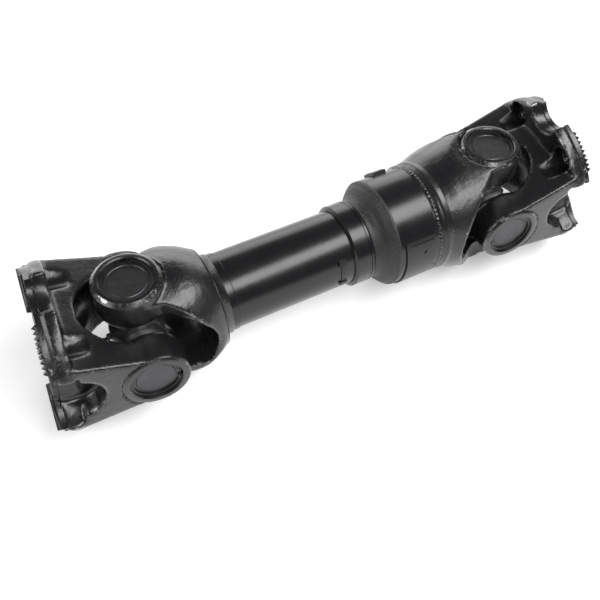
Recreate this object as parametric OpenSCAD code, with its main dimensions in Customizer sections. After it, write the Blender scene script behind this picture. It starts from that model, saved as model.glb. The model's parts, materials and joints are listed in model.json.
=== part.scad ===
// Truck transmission shaft: two universal joints with serrated flange yokes,
// a splined slip section under a cover tube, and a short welded main tube.
// The shaft runs along X. Each joint has a cross whose two axes are the
// upright one (Z, ears of the tube side) and the level one (Y, ears of the flange side).

/* [Layout] */
// Distance between the two joint centres with the slip closed
joint_span = 468; // [450:1:520]
// Turn of the left flange yoke about the upright axis
left_turn = -5; // [-8:0.5:8]
// Upward tilt of the left flange yoke
left_tilt = 5; // [0:0.5:6]
// Turn of the right flange yoke about the upright axis
right_turn = -5; // [-8:0.5:8]
// Upward tilt of the right flange yoke
right_tilt = 9; // [0:0.5:10]

/* [Joint] */
// Diameter of a bearing cup
cup_d = 57; // [50:0.5:60]
// Length of the cross over its two bearing cups
cross_len = 152; // [146:1:156]
// Distance from the joint centre to an ear's outer face
ear_face = 81.5; // [80.8:0.1:84]
// Distance from the joint centre to an ear's inner face
ear_inner = 41.5; // [40:0.5:44]
// Outer diameter of an ear
ear_d = 76; // [72:1:80]
// Chamfer round an ear's outer face
ear_chamfer = 2.5; // [1:0.5:4]
// Diameter of a cross journal
journal_d = 34; // [30:1:36]
// Diameter of one bearing roller
roller_d = 4; // [3:0.25:4.25]
// Rollers in one bearing cup
roller_count = 28; // [16:1:28]
// Length of a bearing roller
roller_len = 28; // [20:1:30]
// Thickness of a snap ring
snap_t = 2.3; // [1.8:0.1:2.6]

/* [Flange yokes] */
// Outer diameter of the turned flange rim
flange_d = 180; // [176:1:186]
// Distance from the joint centre to the flange face
flange_face = 104.5; // [100:0.5:112]
// Thickness of the flange plate
flange_t = 22; // [18:0.5:24]
// From the bolt circle out to the turned rim
bolt_edge = 15; // [13:0.5:17]
// Diameter of a bolt hole
bolt_hole_d = 17; // [13:0.5:18]
// Diameter of the seat behind a bolt hole
bolt_seat_d = 30; // [26:1:32]
// Depth of the seat behind a bolt hole
bolt_seat_depth = 10; // [6:1:12]
// Angle of the bolt holes above and below the level axis
bolt_angle = 51; // [48:1:54]
// Height of the face serration
tooth_h = 4.8; // [3:0.2:6]
// Pitch of the face serration
tooth_pitch = 5.8; // [4.5:0.1:6]
// Teeth on each of the four face pads
tooth_count = 9; // [6:1:9]
// Diameter of the recess in the middle of the flange face
face_recess_d = 86; // [70:1:88]
// Depth of the recess in the middle of the flange face
face_recess_depth = 10; // [6:1:12]
// Diameter of the upper and lower scallops in the plate
side_scallop_d = 48; // [40:1:50]
// Diameter of the near and far scallops in the plate
arm_scallop_d = 80; // [70:1:82]

/* [Slip section] */
// Outer diameter of the cover tube
cover_d = 91.6; // [90:0.2:94]
// Wall of the cover tube
cover_wall = 2.4; // [1.6:0.1:2.6]
// Place of the cover tube's closed end
cover_start = 98; // [97:0.5:100]
// Length of the seal collar
collar_len = 25; // [22:1:26]
// Wall of the seal collar over the cover tube
collar_t = 5; // [4:0.2:7]
// Gap all round between the cover tube and the sleeve that slides in it
sleeve_gap = 0.9; // [0.6:0.1:2]
// Splines on the shaft
spline_count = 16; // [8:1:20]
// Diameter over the splines
spline_d = 64; // [60:1:66]
// Height of a spline
spline_h = 3.6; // [2:0.2:4]
// How far the slip section pulls out
slip_travel = 110; // [60:1:112]
// Length of the neck between the collar and the cone
neck_len = 6; // [4:1:10]
// Length of the cone
cone_len = 18; // [16:1:24]

/* [Main tube] */
// Outer diameter of the main tube
tube_d = 133.6; // [130:0.2:138]
// Wall of the main tube
tube_wall = 4.5; // [3:0.5:6]
// Length of the main tube and the cone's rim beside it
main_tube_len = 54; // [50:1:90]
// Distance of the right hub's welded end from its joint centre
right_hub = 102; // [100:1:112]
// Width of the weld beside the right hub
weld_w = 6; // [4:0.5:8]
// Thickness of the balance plates
plate_t = 2; // [1:0.25:4]
// Thickness of the balance weight on top
weight_t = 4; // [2:0.5:6]

/* [Hidden] */
SIDES = ["left", "right"];
SEATS = ["top", "bottom", "near", "far"];
$fn = 96;

// Radial clearance of a fit that runs, and of one that is pressed
run_clear = 0.05;
press_clear = 0.02;
far_out = 200;
eps = 0.01;

paint = "#1d1e20";
raw_steel = "#4a4b4d";
bright_steel = "#8e9092";
cap_grey = "#3a3b3d";
rubber_black = "#141414";

// Joint values
cup_r = cup_d / 2;
cup_end = cross_len / 2;
cup_floor = 3.15;
journal_r = journal_d / 2;
journal_end = cup_end - cup_floor - 0.9;
cup_bore_r = journal_r + roller_d + 0.16;
cup_start = 39;
seal_start = cup_start - 4;
seal_r = cup_r - 2;
cross_shoulder = seal_start - 0.5;
cross_hub_r = 23;
washer_t = 0.8;
snap_start = cup_end + run_clear;
snap_groove_r = cup_r + 1.6;
snap_r = snap_groove_r - 0.1;
snap_in_r = cup_r - 3.2;
snap_gap = 9;
snap_eye_r = 3.1;
snap_hole_r = 1.2;
ear_r = ear_d / 2;
arm_gap_r = ear_inner + 6.5;
arm_clear = 15;

// Flange yoke values
flange_r = flange_d / 2;
flange_back = flange_face - flange_t;
rim_step = 4;
rim_turned = 8.5;
bolt_r = flange_r - bolt_edge;
web_face = 63;
dish_r = 40;
dish_depth = 10;
arm_out = ear_face - 1.5;
arm_half = 54;
pocket_r = 30;
pocket_floor = 54;
pocket_x = flange_face - 20;
side_scallop_z = flange_r + 4;
arm_scallop_y = flange_r - 2;

// Slip section values
cover_r = cover_d / 2;
cover_in = cover_r - cover_wall;
hub_step_r = cover_r + 2.8;
hub_step_w = 11;
hub_end_r = cover_r + 12.7;
left_hub = cover_start - hub_step_w;
cover_seat = 14;
cover_ring_w = 9;
cover_ring_t = 1.1;
sleeve_wall_gap = 1;
hub_face = joint_span - right_hub;
tube_end = hub_face - weld_w;
tube_start = tube_end - main_tube_len;
neck_start = tube_start - cone_len - neck_len;
collar_r = cover_r + collar_t;
collar_end = neck_start - sleeve_wall_gap;
collar_start = collar_end - collar_len;
cover_end = collar_start + 6;
sleeve_r = cover_in - sleeve_gap;
sleeve_start = cover_start + cover_seat + 6;
neck_r = cover_r + 3.2;
spline_r = spline_d / 2;
spline_root_r = spline_r - spline_h;
spline_clear = 0.1;
spline_end = neck_start + 4;
spline_first = sleeve_start - 6;
sleeve_back_r = spline_r + 4;

// Main tube values
tube_r = tube_d / 2;
tube_in = tube_r - tube_wall;
spigot_len = 14;
weld_crown = 1.4;
hub_band_r = tube_r + 2.8;
plate_x0 = tube_start + 8.5;
plate_len = 40;

// The origin is the middle of the left flange face
origin = flange_face * [
    -cos(left_tilt) * cos(left_turn),
    -cos(left_tilt) * sin(left_turn),
    sin(left_tilt)
];

// Moves from the middle of a joint to the part's own frame
module in_frame(side) {
    translate(-origin) translate([side == "left" ? 0 : joint_span, 0, 0]) children();
}

// The frame of a cross, turned about the upright axis
module in_cross(side) {
    in_frame(side) rotate([0, 0, side == "left" ? left_turn : right_turn]) children();
}

// The frame of a flange yoke, with its face towards +X
module in_flange(side) {
    in_cross(side)
        if (side == "left") rotate([0, left_tilt, 0]) rotate([0, 0, 180]) children();
        else rotate([0, -right_tilt, 0]) children();
}

// A bearing seat, with the bearing's own axis along +Z
module in_seat(side, seat) {
    if (seat == "top") in_frame(side) children();
    if (seat == "bottom") in_frame(side) rotate([180, 0, 0]) children();
    level = side == "left" ? -1 : 1;
    if (seat == "near") in_flange(side) rotate([90 * level, 0, 0]) children();
    if (seat == "far") in_flange(side) rotate([-90 * level, 0, 0]) children();
}

// A solid of revolution about X from points of place and radius
module turned(points) {
    rotate([0, 90, 0]) rotate_extrude() polygon([for (p = points) [p[1], p[0]]]);
}

module along_x(r, x0, x1) {
    translate([x0, 0, 0]) rotate([0, 90, 0]) cylinder(r = r, h = x1 - x0);
}

// The two round bosses of a fork, along Z
module ear_bosses() {
    for (s = [0, 180])
        rotate([s, 0, 0])
            rotate_extrude()
                polygon([
                    [0, ear_inner], [ear_r - 2, ear_inner], [ear_r, ear_inner + 2],
                    [ear_r, ear_face - ear_chamfer], [ear_r - ear_chamfer, ear_face], [0, ear_face]
                ]);
}

// The bores of a fork with their snap ring grooves, along Z
module ear_bores() {
    translate([0, 0, -far_out / 2]) cylinder(r = cup_r, h = far_out);
    for (s = [0, 180])
        rotate([s, 0, 0]) {
            translate([0, 0, cup_end]) cylinder(r = snap_groove_r, h = snap_t + 2 * run_clear);
            translate([0, 0, ear_face - 1]) cylinder(r1 = cup_r, r2 = cup_r + 1.2, h = 1.2);
        }
}

// The room between two arms, cut through along Y, with a round floor
module fork_gap(floor_x) {
    translate([floor_x - arm_gap_r, 0, 0]) rotate([90, 0, 0])
        cylinder(r = arm_gap_r, h = far_out, center = true);
    translate([(floor_x - arm_gap_r - far_out) / 2, 0, 0])
        cube([floor_x - arm_gap_r + far_out, far_out, 2 * arm_gap_r], center = true);
}

// A fork on a round hub: its outer form is turned, and its arms narrow towards the ears
module tube_fork(profile, hub_x, hub_half, floor_x) {
    difference() {
        union() {
            difference() {
                intersection() {
                    turned(profile);
                    linear_extrude(far_out, center = true)
                        polygon([
                            [0, -ear_r], [24, -ear_r], [hub_x - 26, -hub_half], [hub_x, -hub_half],
                            [hub_x, hub_half], [hub_x - 26, hub_half], [24, ear_r], [0, ear_r]
                        ]);
                    cube([2 * far_out, far_out, 2 * ear_face - 3], center = true);
                }
                fork_gap(floor_x);
            }
            ear_bosses();
        }
        ear_bores();
    }
}

module left_shaft_yoke() {
    color(paint)
        in_frame("left") {
            tube_fork([
                [0, 0], [0, 78], [30, 78], [46, 76], [58, 73], [67, 69.5], [77, 64.5],
                [left_hub - 3, hub_end_r + 1.5], [left_hub, hub_end_r], [left_hub, 0]
            ], left_hub, 62, left_hub - 14);
            turned([
                [left_hub - 2, 0], [left_hub - 2, hub_step_r - 2], [left_hub, hub_step_r],
                [cover_start - 0.6, hub_step_r], [cover_start, hub_step_r - 0.6],
                [cover_start, cover_in - press_clear], [cover_start + cover_seat, cover_in - press_clear],
                [cover_start + cover_seat, spline_root_r], [spline_first, spline_root_r],
                [spline_end, spline_root_r], [spline_end, 0]
            ]);
            splines(spline_first, spline_end, spline_r, 0);
        }
}

// Straight splines about X, wider by the clearance
module splines(x0, x1, r, clear) {
    tooth_w = PI * spline_r / spline_count;
    for (i = [0:spline_count - 1])
        rotate([i * 360 / spline_count, 0, 0])
            translate([x0, 0, r - spline_h - 1])
                linear_extrude(spline_h + 1)
                    translate([0, -tooth_w / 2 - clear]) square([x1 - x0, tooth_w + 2 * clear]);
}

module cover_tube() {
    color(paint)
        in_frame("left")
            turned([
                [cover_start + run_clear, cover_in], [cover_start + run_clear, cover_r],
                [cover_end, cover_r], [cover_end, cover_in]
            ]);
}

module cover_ring() {
    ring_r = cover_r + cover_ring_t;
    color(paint)
        in_frame("left")
            turned([
                [cover_start + run_clear, cover_r + press_clear], [cover_start + run_clear, ring_r],
                [cover_start + cover_ring_w - 1, ring_r],
                [cover_start + cover_ring_w, cover_r + press_clear]
            ]);
}

module seal_collar() {
    bevel = 2.2;
    groove_x = collar_end - 4.5;
    color(paint)
        in_frame("left")
            difference() {
                turned([
                    [collar_start, cover_r + press_clear], [collar_start, collar_r - 3.4],
                    [collar_start + bevel, collar_r], [groove_x, collar_r], [groove_x, collar_r - 0.9],
                    [groove_x + 1, collar_r - 0.9], [groove_x + 1, collar_r],
                    [collar_end - 0.8, collar_r], [collar_end, collar_r - 0.8],
                    [collar_end, sleeve_r + 1], [cover_end + run_clear, sleeve_r + 1],
                    [cover_end + run_clear, cover_r + press_clear]
                ]);
                along_x(sleeve_r + 4.2, cover_end + 4, cover_end + 14);
            }
}

module wiper_seal() {
    x0 = cover_end + 4 + run_clear;
    color(rubber_black)
        in_frame("left")
            turned([
                [x0, sleeve_r + 4.1], [x0 + 9.8, sleeve_r + 4.1], [x0 + 9.8, sleeve_r + 1.6],
                [x0 + 7, sleeve_r + run_clear], [x0 + 3, sleeve_r + run_clear], [x0, sleeve_r + 1.6]
            ]);
}

// A part of a ring about X between two angles, counted from the near side upwards
module ring_part(r0, r1, x0, x1, low, high) {
    reach = 2 * r1;
    intersection() {
        difference() {
            along_x(r1, x0, x1);
            along_x(r0, x0 - 1, x1 + 1);
        }
        rotate([0, 90, 0]) linear_extrude(3 * joint_span, center = true)
            polygon([
                [0, 0],
                [-reach * sin(low), -reach * cos(low)],
                [-reach * sin((low + high) / 2) * 1.2, -reach * cos((low + high) / 2) * 1.2],
                [-reach * sin(high), -reach * cos(high)]
            ]);
    }
}

module tube_clip() {
    clip_x = collar_start - 16;
    seat_r = cover_r + press_clear;
    color(bright_steel)
        in_frame("left") {
            ring_part(seat_r, seat_r + 0.9, clip_x - 2.5, clip_x + 2.5, -9, 28);
            ring_part(seat_r, seat_r + 3.2, clip_x - 5, clip_x + 5, 24, 32);
            ring_part(seat_r, seat_r + 2.6, clip_x - 5, clip_x + 5, -12, -7);
        }
}

module slip_sleeve() {
    cone_x = neck_start + neck_len;
    color(raw_steel)
        in_frame("left")
            difference() {
                turned([
                    [sleeve_start, 0], [sleeve_start, sleeve_r - 1], [sleeve_start + 1, sleeve_r],
                    [neck_start - run_clear, sleeve_r], [neck_start, sleeve_r], [neck_start, neck_r - 0.8],
                    [neck_start + 0.8, neck_r], [cone_x, neck_r], [cone_x + cone_len * 0.22, neck_r + 1.6],
                    [cone_x + cone_len * 0.39, neck_r + 4.6], [cone_x + cone_len * 0.61, tube_r - 6.3],
                    [cone_x + cone_len * 0.81, tube_r - 3.2],
                    [tube_start - 1.5, tube_r - 1], [tube_start, tube_r],
                    [tube_start + 3, tube_r], [tube_start + 3, tube_in - press_clear],
                    [tube_start + 3 + spigot_len, tube_in - press_clear], [tube_start + 3 + spigot_len, 0]
                ]);
                along_x(spline_root_r + spline_clear, sleeve_start - 1, spline_end + 30);
                splines(sleeve_start - 1, neck_start + 2, spline_r + spline_clear, spline_clear);
                along_x(sleeve_back_r, neck_start + 2, tube_start + 60);
                turned([
                    [cone_x + 8, 0], [cone_x + 8, sleeve_back_r], [tube_start - 2, tube_in - 6],
                    [tube_start + 40, tube_in - 6], [tube_start + 40, 0]
                ]);
            }
}

module main_tube() {
    color(paint)
        in_frame("left")
            turned([
                [tube_start + 3, tube_in], [tube_start + 3, tube_r], [tube_end, tube_r], [tube_end, tube_in]
            ]);
}

module tube_weld() {
    color(raw_steel)
        in_frame("left")
            turned([
                [tube_end, tube_in], [tube_end, tube_r], [tube_end + weld_w * 0.25, tube_r + weld_crown * 0.8],
                [tube_end + weld_w * 0.5, tube_r + weld_crown],
                [tube_end + weld_w * 0.75, tube_r + weld_crown * 0.8], [hub_face, tube_r], [hub_face, tube_in]
            ]);
}

module right_tube_yoke() {
    band_x = right_hub - 14;
    color(paint)
        in_frame("right") rotate([0, 0, 180])
            difference() {
                union() {
                    tube_fork([
                        [0, 0], [0, 90], [18, 88.4], [38, 84.4], [60, 78.7], [74, 75],
                        [band_x, hub_band_r], [band_x + 6, hub_band_r], [band_x + 9, tube_r],
                        [right_hub, tube_r], [right_hub, 0]
                    ], right_hub, 76, 74);
                    turned([
                        [right_hub - 2, 0], [right_hub - 2, tube_in - press_clear],
                        [right_hub + weld_w + spigot_len, tube_in - press_clear],
                        [right_hub + weld_w + spigot_len, 0]
                    ]);
                }
                turned([
                    [right_hub - 16, 0], [right_hub - 14, tube_in - 22], [right_hub - 2, tube_in - 9],
                    [far_out, tube_in - 9], [far_out, 0]
                ]);
            }
}

module balance_plate() {
    seat_r = tube_r + press_clear;
    slot_w = 1.6;
    color(paint)
        in_frame("left")
            difference() {
                ring_part(seat_r, seat_r + plate_t, plate_x0, plate_x0 + plate_len, -48, 29);
                ring_part(seat_r + plate_t * 0.5, seat_r + plate_t * 2, plate_x0 + 6, plate_x0 + plate_len - 3, 24.5, 24.5 + slot_w);
                rotate([-14, 0, 0]) translate([plate_x0 + plate_len * 0.62, -seat_r - plate_t, 0])
                    rotate([90, 0, 0]) cylinder(r = 2.4, h = plate_t, center = true);
            }
}

module balance_weight() {
    seat_r = tube_r + press_clear;
    color(paint)
        in_frame("left") ring_part(seat_r, seat_r + weight_t, tube_start + 22, tube_start + 39, 126, 149);
}

// The cross: two journals through a round middle, with a shoulder under each seal
module cross_piece() {
    difference() {
        union() {
            sphere(r = cross_hub_r + 8);
            for (turn = [0, 90, 180, 270])
                rotate([turn, 0, 0])
                    rotate_extrude()
                        polygon([
                            [0, 0], [cross_hub_r + 1.5, 0], [cross_hub_r + 1.5, cross_shoulder - 6],
                            [cross_hub_r, cross_shoulder], [journal_r, cross_shoulder],
                            [journal_r, journal_end - 1.5], [journal_r - 1.5, journal_end], [0, journal_end]
                        ]);
        }
        for (turn = [0, 90]) rotate([turn, 0, 0]) cylinder(r = 4, h = far_out, center = true);
    }
}

module cross_of(side) {
    color(raw_steel)
        difference() {
            in_cross(side) cross_piece();
            nipple_place(side) translate([0, 0, -eps]) cylinder(r = 3 + 2 * run_clear, h = 60);
        }
}

// The nipple leaves the middle of the cross outwards and downwards
module nipple_place(side) {
    in_cross(side) rotate([0, side == "left" ? -105 : 105, 0]) translate([0, 0, cross_hub_r - 1]) children();
}

module grease_nipple(side) {
    color(bright_steel)
        nipple_place(side) {
            cylinder(r = 3, h = 12);
            translate([0, 0, 9.1]) cylinder(r = 5.5, h = 4, $fn = 6);
            translate([0, 0, 12.9]) cylinder(r1 = 3.6, r2 = 2.2, h = 4);
            translate([0, 0, 16.5]) cylinder(r = 3.2, h = 2.6);
        }
}

// Teeth of one face pad, along the pad's own radius
module face_teeth() {
    width = tooth_pitch * tooth_count;
    intersection() {
        translate([0, flange_r + 10, 0]) rotate([90, 0, 0])
            linear_extrude(flange_r + 7 - face_recess_d / 2)
                polygon(concat(
                    [[flange_face - 1, width / 2], [flange_face - 1, -width / 2]],
                    [for (i = [0:tooth_count * 2])
                        [flange_face + (i % 2 == 1 ? tooth_h : 0.6), -width / 2 + i * tooth_pitch / 2]]
                ));
        along_x(flange_r - 0.6, flange_back, far_out);
    }
}

module flange_plate() {
    along_x(flange_r + rim_step, flange_back, flange_face - rim_turned);
    along_x(flange_r, flange_back, flange_face);
    for (pad = [bolt_angle, 180 - bolt_angle, 180 + bolt_angle, -bolt_angle])
        rotate([pad, 0, 0]) face_teeth();
}

module flange_arms() {
    intersection() {
        rotate([90, 0, 0]) linear_extrude(2 * arm_out, center = true)
            polygon([
                [0, 1 - ear_r], [12, 1 - ear_r], [flange_back + 4, -arm_half], [flange_face - 2, -arm_half],
                [flange_face - 2, arm_half], [flange_back + 4, arm_half], [12, ear_r - 1], [0, ear_r - 1]
            ]);
        union() {
            along_x(flange_r + 12, -1, flange_back + 8);
            along_x(flange_r + 2, flange_back, flange_face);
        }
    }
}

module flange_cuts() {
    for (s = [-1, 1]) {
        translate([0, 0, s * side_scallop_z]) along_x(side_scallop_d / 2, 50, far_out);
        translate([0, s * arm_scallop_y, 0]) along_x(arm_scallop_d / 2, flange_back - 4, far_out);
        translate([pocket_x, s * (pocket_floor + 50), 0]) rotate([90, 0, 0])
            cylinder(r = pocket_r, h = 100, center = true);
    }
    for (pad = [bolt_angle, 180 - bolt_angle, 180 + bolt_angle, -bolt_angle])
        rotate([pad, 0, 0]) translate([0, bolt_r, 0]) {
            along_x(bolt_hole_d / 2, 50, far_out);
            along_x(bolt_seat_d / 2, 60, flange_back + bolt_seat_depth);
        }
    along_x(face_recess_d / 2, flange_face - face_recess_depth, far_out);
    translate([web_face + dish_depth - dish_r, 0, 0]) sphere(r = dish_r);
}

module flange_yoke(side) {
    color(paint)
        in_flange(side)
            difference() {
                union() {
                    difference() {
                        union() {
                            flange_arms();
                            flange_plate();
                        }
                        rotate([90, 0, 0]) fork_gap(web_face);
                        flange_cuts();
                    }
                    rotate([90, 0, 0]) ear_bosses();
                }
                rotate([90, 0, 0]) ear_bores();
            }
}

module bearing_cup() {
    color(cap_grey)
        rotate_extrude()
            polygon([
                [cup_bore_r, cup_start], [cup_r - 0.8, cup_start], [cup_r - press_clear, cup_start + 0.8],
                [cup_r - press_clear, cup_end - 1], [cup_r - 1 - press_clear, cup_end],
                [cup_r * 0.79, cup_end], [cup_r * 0.77, cup_end - 0.5], [cup_r * 0.75, cup_end],
                [0, cup_end], [0, cup_end - cup_floor], [cup_bore_r, cup_end - cup_floor]
            ]);
}

// Where each snap ring's opening points, as the photographed shaft has it
function snap_angle(side, seat) =
    seat == "top" ? (side == "left" ? 78 : 15) :
    seat == "near" ? (side == "left" ? 185 : 175) : 60;

module snap_ring(side, seat) {
    eye_x = snap_in_r + 0.5;
    eye_y = snap_gap / 2 + snap_eye_r * 0.75;
    color(bright_steel)
        rotate([0, 0, snap_angle(side, seat)]) translate([0, 0, snap_start])
            difference() {
                union() {
                    difference() {
                        cylinder(r = snap_r, h = snap_t);
                        translate([0, 0, -1]) cylinder(r = snap_in_r, h = snap_t + 2);
                    }
                    for (s = [-1, 1]) translate([eye_x, s * eye_y, 0]) cylinder(r = snap_eye_r, h = snap_t);
                }
                translate([cup_r, 0, snap_t / 2]) cube([20, snap_gap, snap_t + 2], center = true);
                for (s = [-1, 1]) translate([eye_x, s * eye_y, -1]) cylinder(r = snap_hole_r, h = snap_t + 2);
            }
}

module journal_seal() {
    color(rubber_black)
        rotate_extrude()
            polygon([
                [journal_r + run_clear, seal_start], [seal_r - 1, seal_start], [seal_r, seal_start + 1],
                [seal_r, cup_start], [journal_r + run_clear, cup_start]
            ]);
}

module rollers() {
    ring_r = journal_r + roller_d / 2 + 0.08;
    first = cup_start + 3;
    color(bright_steel)
        for (i = [0:roller_count - 1])
            rotate([0, 0, i * 360 / roller_count]) translate([ring_r, 0, first])
                cylinder(d = roller_d, h = roller_len);
}

module thrust_washer() {
    color("white")
        translate([0, 0, cup_end - cup_floor - washer_t])
            difference() {
                cylinder(r = journal_r - 1, h = washer_t);
                translate([0, 0, -1]) cylinder(r = 4, h = washer_t + 2);
            }
}

left_shaft_yoke();
cover_tube();
cover_ring();
seal_collar();
wiper_seal();
tube_clip();
slip_sleeve();
main_tube();
tube_weld();
right_tube_yoke();
balance_plate();
balance_weight();
for (side = SIDES) {
    cross_of(side);
    grease_nipple(side);
    flange_yoke(side);
    for (seat = SEATS) {
        bearing = str(side, "_", seat);
        in_seat(side, seat) bearing_cup();
        in_seat(side, seat) snap_ring(side, seat);
        in_seat(side, seat) journal_seal();
        in_seat(side, seat) rollers();
        in_seat(side, seat) thrust_washer();
    }
}
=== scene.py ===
"""Dresses a truck transmission shaft: forged yokes, tubes, weld, joints and the studio around them."""

import json
import math
from collections import namedtuple

import bmesh
import bpy
from mathutils import Euler, Matrix, Vector, noise


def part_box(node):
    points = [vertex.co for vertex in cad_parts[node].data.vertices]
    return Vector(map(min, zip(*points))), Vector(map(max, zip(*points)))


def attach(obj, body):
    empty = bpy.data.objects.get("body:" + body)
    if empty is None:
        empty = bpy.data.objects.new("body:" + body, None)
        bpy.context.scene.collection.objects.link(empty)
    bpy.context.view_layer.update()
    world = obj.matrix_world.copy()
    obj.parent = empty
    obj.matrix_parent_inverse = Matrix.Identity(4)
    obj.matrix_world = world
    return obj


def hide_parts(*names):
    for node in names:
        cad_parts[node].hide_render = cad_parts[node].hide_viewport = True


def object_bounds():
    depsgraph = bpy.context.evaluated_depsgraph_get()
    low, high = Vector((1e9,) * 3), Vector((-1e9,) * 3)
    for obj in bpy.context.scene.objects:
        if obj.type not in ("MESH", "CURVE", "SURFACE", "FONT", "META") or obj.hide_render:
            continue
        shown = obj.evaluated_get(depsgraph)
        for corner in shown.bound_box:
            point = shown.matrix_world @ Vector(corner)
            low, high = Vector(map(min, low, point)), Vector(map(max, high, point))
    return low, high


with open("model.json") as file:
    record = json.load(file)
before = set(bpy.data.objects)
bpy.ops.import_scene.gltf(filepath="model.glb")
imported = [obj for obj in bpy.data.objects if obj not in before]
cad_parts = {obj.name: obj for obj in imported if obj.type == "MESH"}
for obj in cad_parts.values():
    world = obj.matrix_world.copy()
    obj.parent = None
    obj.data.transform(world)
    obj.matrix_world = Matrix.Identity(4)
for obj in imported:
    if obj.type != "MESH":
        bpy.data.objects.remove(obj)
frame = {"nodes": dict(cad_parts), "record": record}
CAD_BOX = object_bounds()

bl_info = {
    "name": "Transmission shaft",
    "version": (1, 0, 0),
    "blender": (4, 5, 0),
    "location": "View3D > Sidebar > Shaft",
    "description": "Dresses the transmission shaft and sets its studio",
    "category": "Object",
}

MM = 0.001
SIDES = ("left", "right")
SEATS = ("top", "bottom", "near", "far")
JOINTS = {joint["name"]: joint for joint in frame["record"]["behaviour"]["joints"]}
LEFT_CENTRE = Vector(JOINTS["left_upright_pivot"]["pos_m"])
RIGHT_CENTRE = Vector(JOINTS["right_upright_pivot"]["pos_m"])

# Ears and bearings, as in the part's source
CUP_R = 28.5 * MM
EAR_R = 38.0 * MM
EAR_FACE = 81.5 * MM
EAR_INNER = 41.5 * MM
GROOVE_R = CUP_R + 1.6 * MM
GROOVE_START = 76.0 * MM
GROOVE_END = 78.4 * MM

# The flange's bolts, and the outer radius of the main tube
BOLT_R = 75.0 * MM
BOLT_HOLE_R = 8.5 * MM
BOLT_ANGLES = (51.0, 129.0, 231.0, 309.0)
SPOTFACE_R = 15.0 * MM
SPOTFACE_X = 92.2 * MM
TUBE_R = 66.8 * MM

# How each end stands at rest, in degrees
SHAFT_TURN = {"left": 0.0, "right": 180.0}
FLANGE_TURN = -5.0
FLANGE_TILT = {"left": 5.0, "right": -9.0}

# Spatter beside the weld: degrees round the tube, mm from the bead's start, and radius in mm
SPATTER = (
    (8.0, 1.3, 1.1), (31.0, -2.4, 0.8), (52.0, 8.6, 1.0), (77.0, -1.8, 0.7), (96.0, 8.9, 0.9),
    (128.0, -2.9, 0.8), (20.0, 9.4, 0.7), (64.0, -3.6, 0.6), (112.0, 10.0, 0.7), (-14.0, -2.0, 0.9),
    (-28.0, 9.0, 0.8))

# A forged yoke: its node and body, its own frame, where its rounded part ends on its own X,
# how many rounds soften it, the chamfer of its ears with its paint wear and painted highlight, and whether
# it is a flange yoke
Yoke = namedtuple("Yoke", "node body place cut rounds chamfer worn flange")


def settings():
    return bpy.context.scene.shaft_settings


def turn(degrees, axis):
    return Matrix.Rotation(math.radians(degrees), 4, axis)


def shaft_place(side):
    """From a shaft yoke's own frame, with its hub towards +X, to the part's frame."""
    centre = LEFT_CENTRE if side == "left" else RIGHT_CENTRE
    return Matrix.Translation(centre) @ turn(SHAFT_TURN[side], "Z")


def flange_place(side):
    """From a flange yoke's own frame, with its face towards +X, to the part's frame."""
    centre = LEFT_CENTRE if side == "left" else RIGHT_CENTRE
    half_turn = turn(180.0, "Z") if side == "left" else Matrix()
    return Matrix.Translation(centre) @ turn(FLANGE_TURN, "Z") @ turn(FLANGE_TILT[side], "Y") @ half_turn


class Nodes:
    """Builds one material from nodes, with short calls."""

    def __init__(self, name):
        self.material = bpy.data.materials.new(name)
        self.material.use_nodes = True
        self.tree = self.material.node_tree
        self.shader = self.tree.nodes["Principled BSDF"]
        self.place = self.add("ShaderNodeTexCoord").outputs["Object"]

    def add(self, kind, **values):
        node = self.tree.nodes.new(kind)
        for key, value in values.items():
            setattr(node, key, value)
        return node

    def link(self, source, socket):
        self.tree.links.new(source, socket)

    def surface(self, name, source):
        """Links a value to a socket of the surface shader."""
        self.link(source, self.shader.inputs[name])

    def plain(self, name, value):
        """Sets a socket of the surface shader to one value all over."""
        self.shader.inputs[name].default_value = value

    def noise(self, scale, detail=3.0, rough=0.55):
        node = self.add("ShaderNodeTexNoise")
        node.inputs["Scale"].default_value = scale
        node.inputs["Detail"].default_value = detail
        node.inputs["Roughness"].default_value = rough
        self.link(self.place, node.inputs["Vector"])
        return node.outputs["Fac"]

    def span(self, value, low, high, start=0.0, end=1.0):
        """Maps low to high onto start to end, and stops at both."""
        node = self.add("ShaderNodeMapRange")
        node.inputs["From Min"].default_value = low
        node.inputs["From Max"].default_value = high
        node.inputs["To Min"].default_value = start
        node.inputs["To Max"].default_value = end
        self.link(value, node.inputs["Value"])
        return node.outputs["Result"]

    def math(self, operation, first, second):
        """A Math node of a linked value and a second one, linked or plain."""
        node = self.add("ShaderNodeMath", operation=operation)
        self.link(first, node.inputs[0])
        if isinstance(second, float):
            node.inputs[1].default_value = second
        else:
            self.link(second, node.inputs[1])
        return node.outputs["Value"]

    def mix(self, factor, first, second):
        """Mixes a plain or linked colour with a plain one."""
        node = self.add("ShaderNodeMix", data_type="RGBA")
        self.link(factor, node.inputs["Factor"])
        for socket, value in ((node.inputs[6], first), (node.inputs[7], second)):
            if isinstance(value, tuple):
                socket.default_value = value + (1.0,)
            else:
                self.link(value, socket)
        return node.outputs[2]

    def bump(self, height, distance, strength, under=None):
        node = self.add("ShaderNodeBump")
        node.inputs["Distance"].default_value = distance
        node.inputs["Strength"].default_value = strength
        self.link(height, node.inputs["Height"])
        if under:
            self.link(under, node.inputs["Normal"])
        return node.outputs["Normal"]


def lighter(colour, factor):
    return tuple(min(1.0, value * factor) for value in colour)


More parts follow.
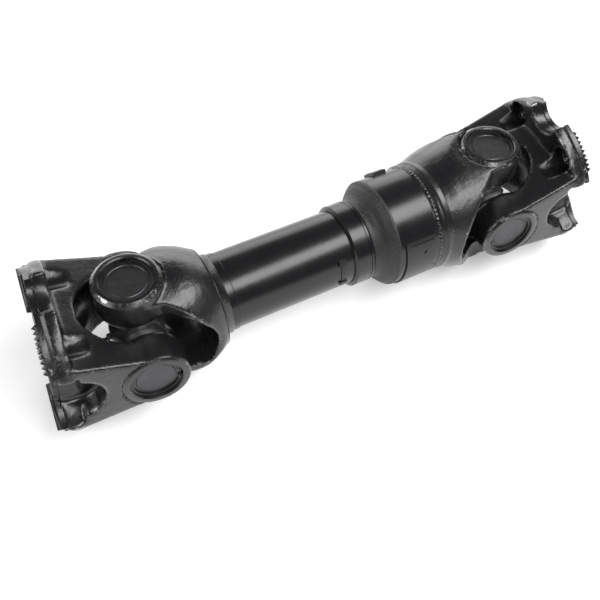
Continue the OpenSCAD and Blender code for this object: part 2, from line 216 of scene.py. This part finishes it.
def forged_paint(name, rough=0.27, grain=1.0):
    """Black enamel over a forging: orange peel, shallow scale pits, and light grey chips on marked edges
    that are both paint wear and painted edge highlights.
    """
    n = Nodes(name)
    dark = tuple(settings().paint)
    peel = n.noise(420.0, 2.0)
    pits = n.noise(150.0, 5.0, 0.7)
    broad = n.noise(18.0)
    wear_and_glint = n.add("ShaderNodeAttribute", attribute_name="wear_and_glint").outputs["Fac"]
    specks = n.span(n.noise(330.0, 6.0, 0.75), 0.54, 0.62)
    fine = n.math("MULTIPLY", specks, n.span(n.noise(28.0), 0.42, 0.62))
    flaked = n.span(n.noise(45.0, 4.0, 0.65), 0.59, 0.63)
    # Light grey, half metallic chips on the marked edges: real paint wear, and painted edge highlights as
    # well.
    chips_and_glints = n.math("MULTIPLY", n.math("MAXIMUM", fine, flaked), wear_and_glint)
    dust = n.span(n.noise(60.0, 6.0, 0.7), 0.5, 0.75)
    colour = n.mix(dust, dark, lighter(dark, 1.7))
    n.surface("Base Color", n.mix(chips_and_glints, colour, (0.36, 0.35, 0.34)))
    gloss = n.span(broad, 0.3, 0.75, rough - 0.08, rough + 0.14)
    n.surface("Roughness", n.math("SUBTRACT", gloss, n.math("MULTIPLY", wear_and_glint, 0.06)))
    n.surface("Metallic", n.math("MULTIPLY", chips_and_glints, 0.8))
    n.surface("Normal", n.bump(peel, 0.00032 * grain, 0.7, n.bump(pits, 0.0006 * grain, 0.7)))
    n.plain("Coat Weight", 0.3)
    n.plain("Coat Roughness", 0.2)
    return n.material


def smooth_paint(name, rough=0.23):
    """Black enamel over a drawn tube, with a soft gloss."""
    n = Nodes(name)
    dark = tuple(settings().paint)
    peel = n.noise(520.0, 2.0)
    waves = n.noise(35.0, 2.0)
    dust = n.span(n.noise(110.0, 6.0, 0.75), 0.55, 0.8)
    n.surface("Base Color", n.mix(dust, dark, lighter(dark, 1.5)))
    n.surface("Roughness", n.span(waves, 0.3, 0.7, rough - 0.02, rough + 0.03))
    n.surface("Normal", n.bump(peel, 0.00012, 0.5, n.bump(waves, 0.0004, 0.3)))
    return n.material


def matt_coat(name):
    """The matt, sprayed coat on the cone and its neck, with dry speckles."""
    n = Nodes(name)
    speckle = n.span(n.noise(700.0, 4.0, 0.7), 0.58, 0.7)
    n.surface("Base Color", n.mix(speckle, tuple(settings().coat), (0.16, 0.16, 0.165)))
    n.surface("Normal", n.bump(n.noise(600.0, 4.0, 0.7), 0.0003, 0.6))
    n.plain("Roughness", 0.5)
    return n.material


def steel(name, colour, rough, metallic=1.0, scale=500.0, depth=0.0001):
    """Bare steel with a fine grain and slightly uneven tone."""
    n = Nodes(name)
    tone = n.span(n.noise(90.0, 4.0), 0.3, 0.7)
    grain = n.noise(scale)
    n.surface("Base Color", n.mix(tone, lighter(colour, 0.78), colour))
    n.surface("Roughness", n.span(grain, 0.3, 0.7, rough - 0.07, rough + 0.09))
    n.surface("Normal", n.bump(grain, depth, 0.5))
    n.plain("Metallic", metallic)
    return n.material


def dull(name, colour, rough, depth=0.0002):
    """Rubber or plastic with a fine moulded grain."""
    n = Nodes(name)
    tone = n.span(n.noise(220.0, 4.0), 0.35, 0.7)
    n.surface("Base Color", n.mix(tone, colour, lighter(colour, 1.3)))
    n.surface("Normal", n.bump(n.noise(600.0), depth, 0.5))
    n.plain("Roughness", rough)
    return n.material


def floor_white():
    """A white floor that keeps the shadow and clears to white for the camera and in reflections."""
    n = Nodes("floor white")
    n.plain("Roughness", 0.95)
    n.plain("Base Color", (0.9, 0.9, 0.9, 1.0))
    n.plain("Emission Color", (1.0, 1.0, 1.0, 1.0))
    path = n.add("ShaderNodeLightPath")
    seen = n.math("MAXIMUM", path.outputs["Is Camera Ray"], path.outputs["Is Glossy Ray"])
    seen = n.math("MAXIMUM", seen, path.outputs["Is Transmission Ray"])
    n.surface("Emission Strength", n.math("MULTIPLY", seen, 0.33))
    return n.material


def finish_node(name, material):
    """Gives a CAD node its material on every slot it has."""
    node = frame["nodes"][name]
    slots = node.material_slots
    if not slots:
        node.data.materials.append(material)
    for slot in slots:
        slot.material = material


def object_from(bm, name):
    """A new object in the scene from a bmesh, which it frees."""
    mesh = bpy.data.meshes.new(name)
    bm.to_mesh(mesh)
    bm.free()
    piece = bpy.data.objects.new(name, mesh)
    bpy.context.scene.collection.objects.link(piece)
    return piece


def apply_modifiers(piece):
    """Makes the modified mesh the piece's own and removes the modifiers."""
    graph = bpy.context.evaluated_depsgraph_get()
    mesh = bpy.data.meshes.new_from_object(piece.evaluated_get(graph))
    piece.modifiers.clear()
    old = piece.data
    piece.data = mesh
    bpy.data.meshes.remove(old)


def shade(piece, angle):
    """Shades a piece smooth, but flat across edges sharper than angle."""
    mesh = piece.data
    mesh.polygons.foreach_set("use_smooth", [True] * len(mesh.polygons))
    mesh.set_sharp_from_angle(angle=math.radians(angle))


def half_of(yoke, cut, keep_face):
    """A yoke's CAD mesh in its own frame, cut across its own X and closed: beyond the cut, or before it."""
    bm = bmesh.new()
    bm.from_mesh(frame["nodes"][yoke.node].data)
    bmesh.ops.remove_doubles(bm, verts=bm.verts, dist=0.000002)
    bmesh.ops.transform(bm, matrix=yoke.place.inverted(), verts=bm.verts)
    made = bmesh.ops.bisect_plane(
        bm, geom=bm.verts[:] + bm.edges[:] + bm.faces[:], dist=0.000001, plane_co=(cut, 0, 0),
        plane_no=(1, 0, 0), clear_inner=keep_face, clear_outer=not keep_face)
    rim = [item for item in made["geom_cut"] if isinstance(item, bmesh.types.BMEdge)]
    bmesh.ops.triangle_fill(bm, edges=rim, use_beauty=True)
    bmesh.ops.recalc_face_normals(bm, faces=bm.faces)
    return bm


def spin_piece(bm, points, axis, place, steps):
    """Spins a closed profile of points about an axis of its own frame and moves it to its place."""
    verts = [bm.verts.new(point) for point in points]
    edges = [bm.edges.new((a, b)) for a, b in zip(verts, verts[1:] + verts[:1])]
    bmesh.ops.spin(
        bm, geom=verts + edges, cent=(0, 0, 0), axis=axis, dvec=(0, 0, 0), angle=math.tau,
        steps=steps, use_merge=True, use_normal_flip=False)
    seen, queue = set(verts), list(verts)
    while queue:
        for edge in queue.pop().link_edges:
            for vert in edge.verts:
                if vert not in seen:
                    seen.add(vert)
                    queue.append(vert)
    bmesh.ops.transform(bm, matrix=place, verts=list(seen))
    return seen


def bearing_radius(point, flange):
    """How far a point is from the bearing axis, and how far along it.
    The axis is a flange yoke's own Y, and a shaft yoke's own Z."""
    if flange:
        return math.hypot(point.x, point.z), abs(point.y)
    return math.hypot(point.x, point.y), abs(point.z)


def ear_ring(bm, yoke, axis_turn, wear_and_glint):
    """The machined ring of one ear: its face, bore and snap ring groove, spun about the bearing's axis."""
    chamfer = yoke.chamfer
    inner_end = EAR_INNER - 0.2 * MM
    body_r = 34.0 * MM
    bore_edge = 1.2 * MM
    points = (
        (CUP_R, inner_end), (body_r, inner_end), (body_r, EAR_FACE - 6.0 * MM),
        (EAR_R - 1.2 * MM, EAR_FACE - chamfer - 1.2 * MM), (EAR_R - 0.2 * MM, EAR_FACE - chamfer),
        (EAR_R - chamfer + 0.1 * MM, EAR_FACE - 0.3 * MM), (EAR_R - chamfer - 0.7 * MM, EAR_FACE),
        (CUP_R + bore_edge, EAR_FACE), (CUP_R, EAR_FACE - bore_edge), (CUP_R, GROOVE_END),
        (GROOVE_R, GROOVE_END), (GROOVE_R, GROOVE_START), (CUP_R, GROOVE_START))
    made = spin_piece(bm, [(r, 0.0, h) for r, h in points], (0, 0, 1), axis_turn, 96)
    # The chamfer is marked for chips that are both paint wear and a painted highlight along its edge.
    edge_band = chamfer + 0.5 * MM
    for vert in made:
        radius, along = bearing_radius(axis_turn.inverted() @ vert.co, False)
        on_chamfer = radius > EAR_R - edge_band and along > EAR_FACE - edge_band
        vert[wear_and_glint] = yoke.worn if on_chamfer else 0.0


def seat_ring(bm, angle):
    """The stepped round spotface of one flange bolt, with the start of its hole."""
    place = turn(angle, "X") @ Matrix.Translation((0.0, BOLT_R, 0.0))
    step = 0.3 * MM
    back = 100.0 * MM
    points = (
        (back, BOLT_HOLE_R), (SPOTFACE_X + 0.4 * MM, BOLT_HOLE_R), (SPOTFACE_X - step, 9.2 * MM),
        (SPOTFACE_X - step, 11.6 * MM), (SPOTFACE_X, 12.0 * MM), (SPOTFACE_X, SPOTFACE_R - 0.8 * MM),
        (SPOTFACE_X + 0.8 * MM, SPOTFACE_R), (back, SPOTFACE_R))
    spin_piece(bm, [(x, r, 0.0) for x, r in points], (1, 0, 0), place, 64)


def settle_ear(point, yoke):
    """Keeps the rounded body under the machined ring of an ear."""
    radius, along = bearing_radius(point, yoke.flange)
    if along < EAR_INNER - 3.0 * MM or radius > EAR_R + 0.8 * MM:
        return
    new_radius = max(radius, CUP_R + 2.5 * MM)
    new_along = along
    if radius < EAR_R - 1.7 * MM:
        new_along = min(along, EAR_FACE - 0.25 * MM)
    excess = new_radius + new_along - (EAR_R + EAR_FACE - yoke.chamfer - 0.7 * MM)
    new_along -= max(excess, 0.0)
    scale = new_radius / max(radius, 0.000001)
    point.x *= scale
    if yoke.flange:
        point.z *= scale
        point.y = math.copysign(new_along, point.y)
    else:
        point.y *= scale
        point.z = math.copysign(new_along, point.z)


def settle_seats(point):
    """Opens the rounded flange for the spotfaces and bolt holes."""
    floor_x = SPOTFACE_X + 1.0 * MM
    hole_r = BOLT_HOLE_R + 0.9 * MM
    for angle in BOLT_ANGLES:
        across = math.radians(angle)
        centre = Vector((BOLT_R * math.cos(across), BOLT_R * math.sin(across)))
        offset = Vector((point.y, point.z)) - centre
        reach = offset.length
        if reach > SPOTFACE_R - 0.4 * MM or point.x < 84.0 * MM:
            continue
        point.x = max(point.x, floor_x)
        if reach < hole_r:
            point.y, point.z = centre + offset.normalized() * hole_r


def mark_wear_and_glints(bm):
    """Marks the outer edges for chips that are both paint wear and painted edge highlights, from how far
    each vertex stands out of its neighbours.
    """
    wear_and_glint = bm.verts.layers.float.new("wear_and_glint")
    full_wear_and_glint = 0.11 * MM
    for vert in bm.verts:
        near = [edge.other_vert(vert).co for edge in vert.link_edges]
        middle = sum(near, Vector()) / len(near)
        rise = (vert.co - middle).dot(vert.normal)
        vert[wear_and_glint] = min(max(rise / full_wear_and_glint - 0.25, 0.0), 1.0)
    return wear_and_glint


def rounded_body(yoke):
    """The yoke up to its cut, made of fine even cells and softened."""
    body = object_from(half_of(yoke, yoke.cut + 2.0 * MM, False), yoke.node + "_forged")
    cells = body.modifiers.new("cells", "REMESH")
    cells.mode = "VOXEL"
    cells.voxel_size = settings().forge_detail
    apply_modifiers(body)
    smooth = body.modifiers.new("soft edges", "SMOOTH")
    smooth.factor = 0.6
    smooth.iterations = yoke.rounds
    apply_modifiers(body)
    return body


def forge(yoke, paint):
    """Rounds and roughens a yoke as a forging, and puts back its face end and machined rings."""
    body = rounded_body(yoke)
    bm = bmesh.new()
    bm.from_mesh(body.data)
    bm.normal_update()
    wear_and_glint = mark_wear_and_glints(bm)
    for vert in bm.verts:
        point = vert.co
        uneven = noise.noise(point * 55.0) * 0.15 * MM + noise.noise(point * 210.0) * 0.12 * MM
        vert.co = point + vert.normal * uneven
        settle_ear(vert.co, yoke)
        if yoke.flange:
            settle_seats(vert.co)
        vert.co.x = min(vert.co.x, yoke.cut + 0.5 * MM)
    face_end = half_of(yoke, yoke.cut, True)
    spare = bpy.data.meshes.new("spare")
    face_end.to_mesh(spare)
    face_end.free()
    bm.from_mesh(spare)
    bpy.data.meshes.remove(spare)
    to_axis = turn(90.0, "X") if yoke.flange else Matrix()
    for flip in (0.0, 180.0):
        ear_ring(bm, yoke, turn(flip, "X") @ to_axis, wear_and_glint)
    if yoke.flange:
        for angle in BOLT_ANGLES:
            seat_ring(bm, angle)
    bmesh.ops.transform(bm, matrix=yoke.place, verts=bm.verts)
    bmesh.ops.recalc_face_normals(bm, faces=bm.faces)
    bm.to_mesh(body.data)
    bm.free()
    shade(body, 32)
    body.data.materials.append(paint)
    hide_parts(yoke.node)
    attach(body, yoke.body)


def weld_bead(name, start, width):
    """A rippled weld bead with spatter beside it, round the main tube at its own X."""
    bm = bmesh.new()
    low, foot, toe = TUBE_R - 1.5 * MM, TUBE_R + 0.05 * MM, 0.4 * MM
    rows = 8
    points = [(start - toe, low), (start - toe, foot)]
    for share in (row / rows for row in range(rows + 1)):
        height = 0.1 * MM + 1.7 * MM * math.sin(math.pi * share) ** 0.7
        points.append((start + width * share, TUBE_R + height))
    points += [(start + width + toe, foot), (start + width + toe, low)]
    spin_piece(bm, [(x, 0.0, r) for x, r in points], (1, 0, 0), Matrix(), 420)
    for vert in bm.verts:
        out = Vector((0.0, vert.co.y, vert.co.z))
        if out.length < TUBE_R + 0.08 * MM:
            continue
        angle = math.atan2(vert.co.z, vert.co.y)
        share = (vert.co.x - start) / width
        ripple = math.sin(angle * 84.0 + 12.0 * (share - 0.5) ** 2)
        lump = noise.noise(Vector((math.cos(angle), math.sin(angle), share)) * 14.0)
        rise = (0.4 * ripple + 0.7 * lump) * MM * math.sin(math.pi * min(max(share, 0.0), 1.0))
        vert.co += out.normalized() * rise
        vert.co.x += 0.7 * MM * noise.noise(Vector((angle * 8.0, share, 3.1)))
    for angle, along, size in SPATTER:
        place = turn(90.0 - angle, "X") @ Matrix.Translation((start + along * MM, 0.0, TUBE_R))
        made = bmesh.ops.create_icosphere(bm, subdivisions=2, radius=size * MM)
        bmesh.ops.transform(bm, matrix=place, verts=made["verts"])
    bmesh.ops.recalc_face_normals(bm, faces=bm.faces)
    return object_from(bm, name)


def soft_lamp(name, offset, size, power):
    """A softbox at an offset from the middle of the shaft, turned to it."""
    target = (LEFT_CENTRE + RIGHT_CENTRE) / 2
    data = bpy.data.lights.new(name, "AREA")
    data.shape = "RECTANGLE"
    data.size, data.size_y = size
    data.energy = power
    lamp = bpy.data.objects.new(name, data)
    bpy.context.scene.collection.objects.link(lamp)
    lamp.location = target + Vector(offset)
    lamp.rotation_euler = (-Vector(offset)).to_track_quat("-Z", "Y").to_euler()


class ShaftSettings(bpy.types.PropertyGroup):
    paint: bpy.props.FloatVectorProperty(
        name="Paint", description="Black enamel of the forgings and tubes", subtype="COLOR",
        default=(0.0075, 0.0078, 0.0088), min=0.0, max=1.0)
    coat: bpy.props.FloatVectorProperty(
        name="Cone coat", description="Matt coat of the cone and its neck", subtype="COLOR",
        default=(0.013, 0.013, 0.015), min=0.0, max=1.0)
    forge_detail: bpy.props.FloatProperty(
        name="Forging detail", description="Size of the cells that the forgings are rounded with",
        default=0.0018, min=0.0008, max=0.004, unit="LENGTH")
    lens: bpy.props.FloatProperty(
        name="Lens", description="Focal length of the camera", default=46.82, min=20.0, max=120.0,
        unit="CAMERA")


class SHAFT_OT_forgings(bpy.types.Operator):
    """Rounds and roughens the shaft yokes and flange yokes as forgings"""
    bl_idname = "shaft.forgings"
    bl_label = "Forgings"

    def execute(self, context):
        paint = forged_paint("forged paint")
        left_shaft, right_shaft = shaft_place("left"), shaft_place("right")
        left_flange, right_flange = flange_place("left"), flange_place("right")
        yokes = (
            Yoke("left_shaft_yoke", "slip_half", left_shaft, 86.0 * MM, 10, 4.4 * MM, 1.0, False),
            Yoke("right_tube_yoke", "main_half", right_shaft, 88.5 * MM, 10, 4.4 * MM, 1.0, False),
            Yoke("left_flange_yoke", "left_flange", left_flange, 99.0 * MM, 22, 2.4 * MM, 0.3, True),
            Yoke("right_flange_yoke", "right_flange", right_flange, 99.0 * MM, 22, 2.4 * MM, 0.3, True))
        for yoke in yokes:
            finish_node(yoke.node, paint)
            forge(yoke, paint)
        return {"FINISHED"}


class SHAFT_OT_tubes(bpy.types.Operator):
    """Finishes the cover tube, collar, cone, main tube, weld and plates"""
    bl_idname = "shaft.tubes"
    bl_label = "Tubes"

    def execute(self, context):
        tube_paint = smooth_paint("tube paint")
        for name in ("cover_tube", "cover_ring", "seal_collar", "main_tube"):
            finish_node(name, tube_paint)
        plate_paint = smooth_paint("plate paint", 0.36)
        for name in ("balance_plate", "balance_weight"):
            finish_node(name, plate_paint)
        finish_node("slip_sleeve", matt_coat("cone coat"))
        weld_low, weld_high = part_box("tube_weld")
        bead = weld_bead("tube_weld_bead", weld_low[0] - LEFT_CENTRE.x, weld_high[0] - weld_low[0])
        bead.data.transform(Matrix.Translation(LEFT_CENTRE))
        bead.data.materials.append(forged_paint("weld paint", 0.2, 0.4))
        shade(bead, 60)
        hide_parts("tube_weld")
        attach(bead, "main_half")
        finish_node("wiper_seal", dull("seal rubber", (0.012, 0.012, 0.012), 0.6))
        finish_node("tube_clip", smooth_paint("clip paint", 0.4))
        return {"FINISHED"}


class SHAFT_OT_joints(bpy.types.Operator):
    """Finishes the crosses, cups, snap rings, seals and rollers"""
    bl_idname = "shaft.joints"
    bl_label = "Joints"

    def execute(self, context):
        cross = steel("cross steel", (0.3, 0.3, 0.305), 0.42, 0.9, 300.0, 0.0002)
        bright = steel("roller steel", (0.6, 0.6, 0.6), 0.2)
        finishes = {
            "cup": steel("cup steel", (0.085, 0.085, 0.09), 0.36, 0.85, 260.0, 0.00006),
            "snap_ring": steel("snap ring steel", (0.06, 0.06, 0.062), 0.4, 0.8),
            "seal": dull("journal seal rubber", (0.015, 0.015, 0.015), 0.55),
            "rollers": bright,
            "washer": dull("washer plastic", (0.7, 0.68, 0.6), 0.5),
        }
        for side in SIDES:
            finish_node(side + "_cross", cross)
            finish_node(side + "_grease_nipple", bright)
            for seat in SEATS:
                for piece, material in finishes.items():
                    finish_node(f"{side}_{seat}_{piece}", material)
        return {"FINISHED"}


class SHAFT_OT_stage(bpy.types.Operator):
    """Adds the white floor, the soft lamps, the world and the camera"""
    bl_idname = "shaft.stage"
    bl_label = "Stage"

    def execute(self, context):
        scene = context.scene
        scene.view_settings.view_transform = "Standard"
        floor_z = CAD_BOX[0][2]
        bm = bmesh.new()
        bmesh.ops.create_grid(bm, x_segments=2, y_segments=2, size=30.0)
        bmesh.ops.translate(bm, verts=bm.verts, vec=(0.3, 0.0, floor_z - 0.4 * MM))
        floor = object_from(bm, "floor")
        floor.data.materials.append(floor_white())

        world = bpy.data.worlds.new("studio")
        scene.world = world
        world.use_nodes = True
        sky = world.node_tree.nodes["Background"]
        sky.inputs["Color"].default_value = (1, 1, 1, 1)
        sky.inputs["Strength"].default_value = 0.11

        soft_lamp("front softbox", (0.5, -0.72, 1.33), (2.2, 0.62), 34.0)
        soft_lamp("back softbox", (0.5, 2.0, 0.62), (4.2, 1.15), 38.0)
        soft_lamp("left softbox", (-1.8, 0.1, 1.0), (1.4, 0.7), 15.0)

        data = bpy.data.cameras.new("camera")
        data.lens = settings().lens
        data.sensor_width = 36.0
        data.clip_start = 0.01
        data.clip_end = 50.0
        camera = bpy.data.objects.new("camera", data)
        scene.collection.objects.link(camera)
        camera.location = LEFT_CENTRE + Vector((-96.312, -534.809, 705.381)) * MM
        camera.rotation_euler = Euler([math.radians(angle) for angle in (38.2052, -1.2677, -28.0643)])
        scene.camera = camera
        return {"FINISHED"}


class SHAFT_PT_panel(bpy.types.Panel):
    bl_label = "Transmission shaft"
    bl_idname = "SHAFT_PT_panel"
    bl_space_type = "VIEW_3D"
    bl_region_type = "UI"
    bl_category = "Shaft"

    def draw(self, context):
        for key in ("paint", "coat", "forge_detail", "lens"):
            self.layout.prop(context.scene.shaft_settings, key)
        for operator in STEPS:
            self.layout.operator(operator.bl_idname)


STEPS = (SHAFT_OT_forgings, SHAFT_OT_tubes, SHAFT_OT_joints, SHAFT_OT_stage)
CLASSES = (ShaftSettings,) + STEPS + (SHAFT_PT_panel,)


def register():
    for cls in CLASSES:
        bpy.utils.register_class(cls)
    bpy.types.Scene.shaft_settings = bpy.props.PointerProperty(type=ShaftSettings)


def unregister():
    del bpy.types.Scene.shaft_settings
    for cls in reversed(CLASSES):
        bpy.utils.unregister_class(cls)


def main():
    register()
    for operator in STEPS:
        group, name = operator.bl_idname.split(".")
        getattr(getattr(bpy.ops, group), name)()
    bpy.context.view_layer.update()


if __name__ == "__main__":
    main()
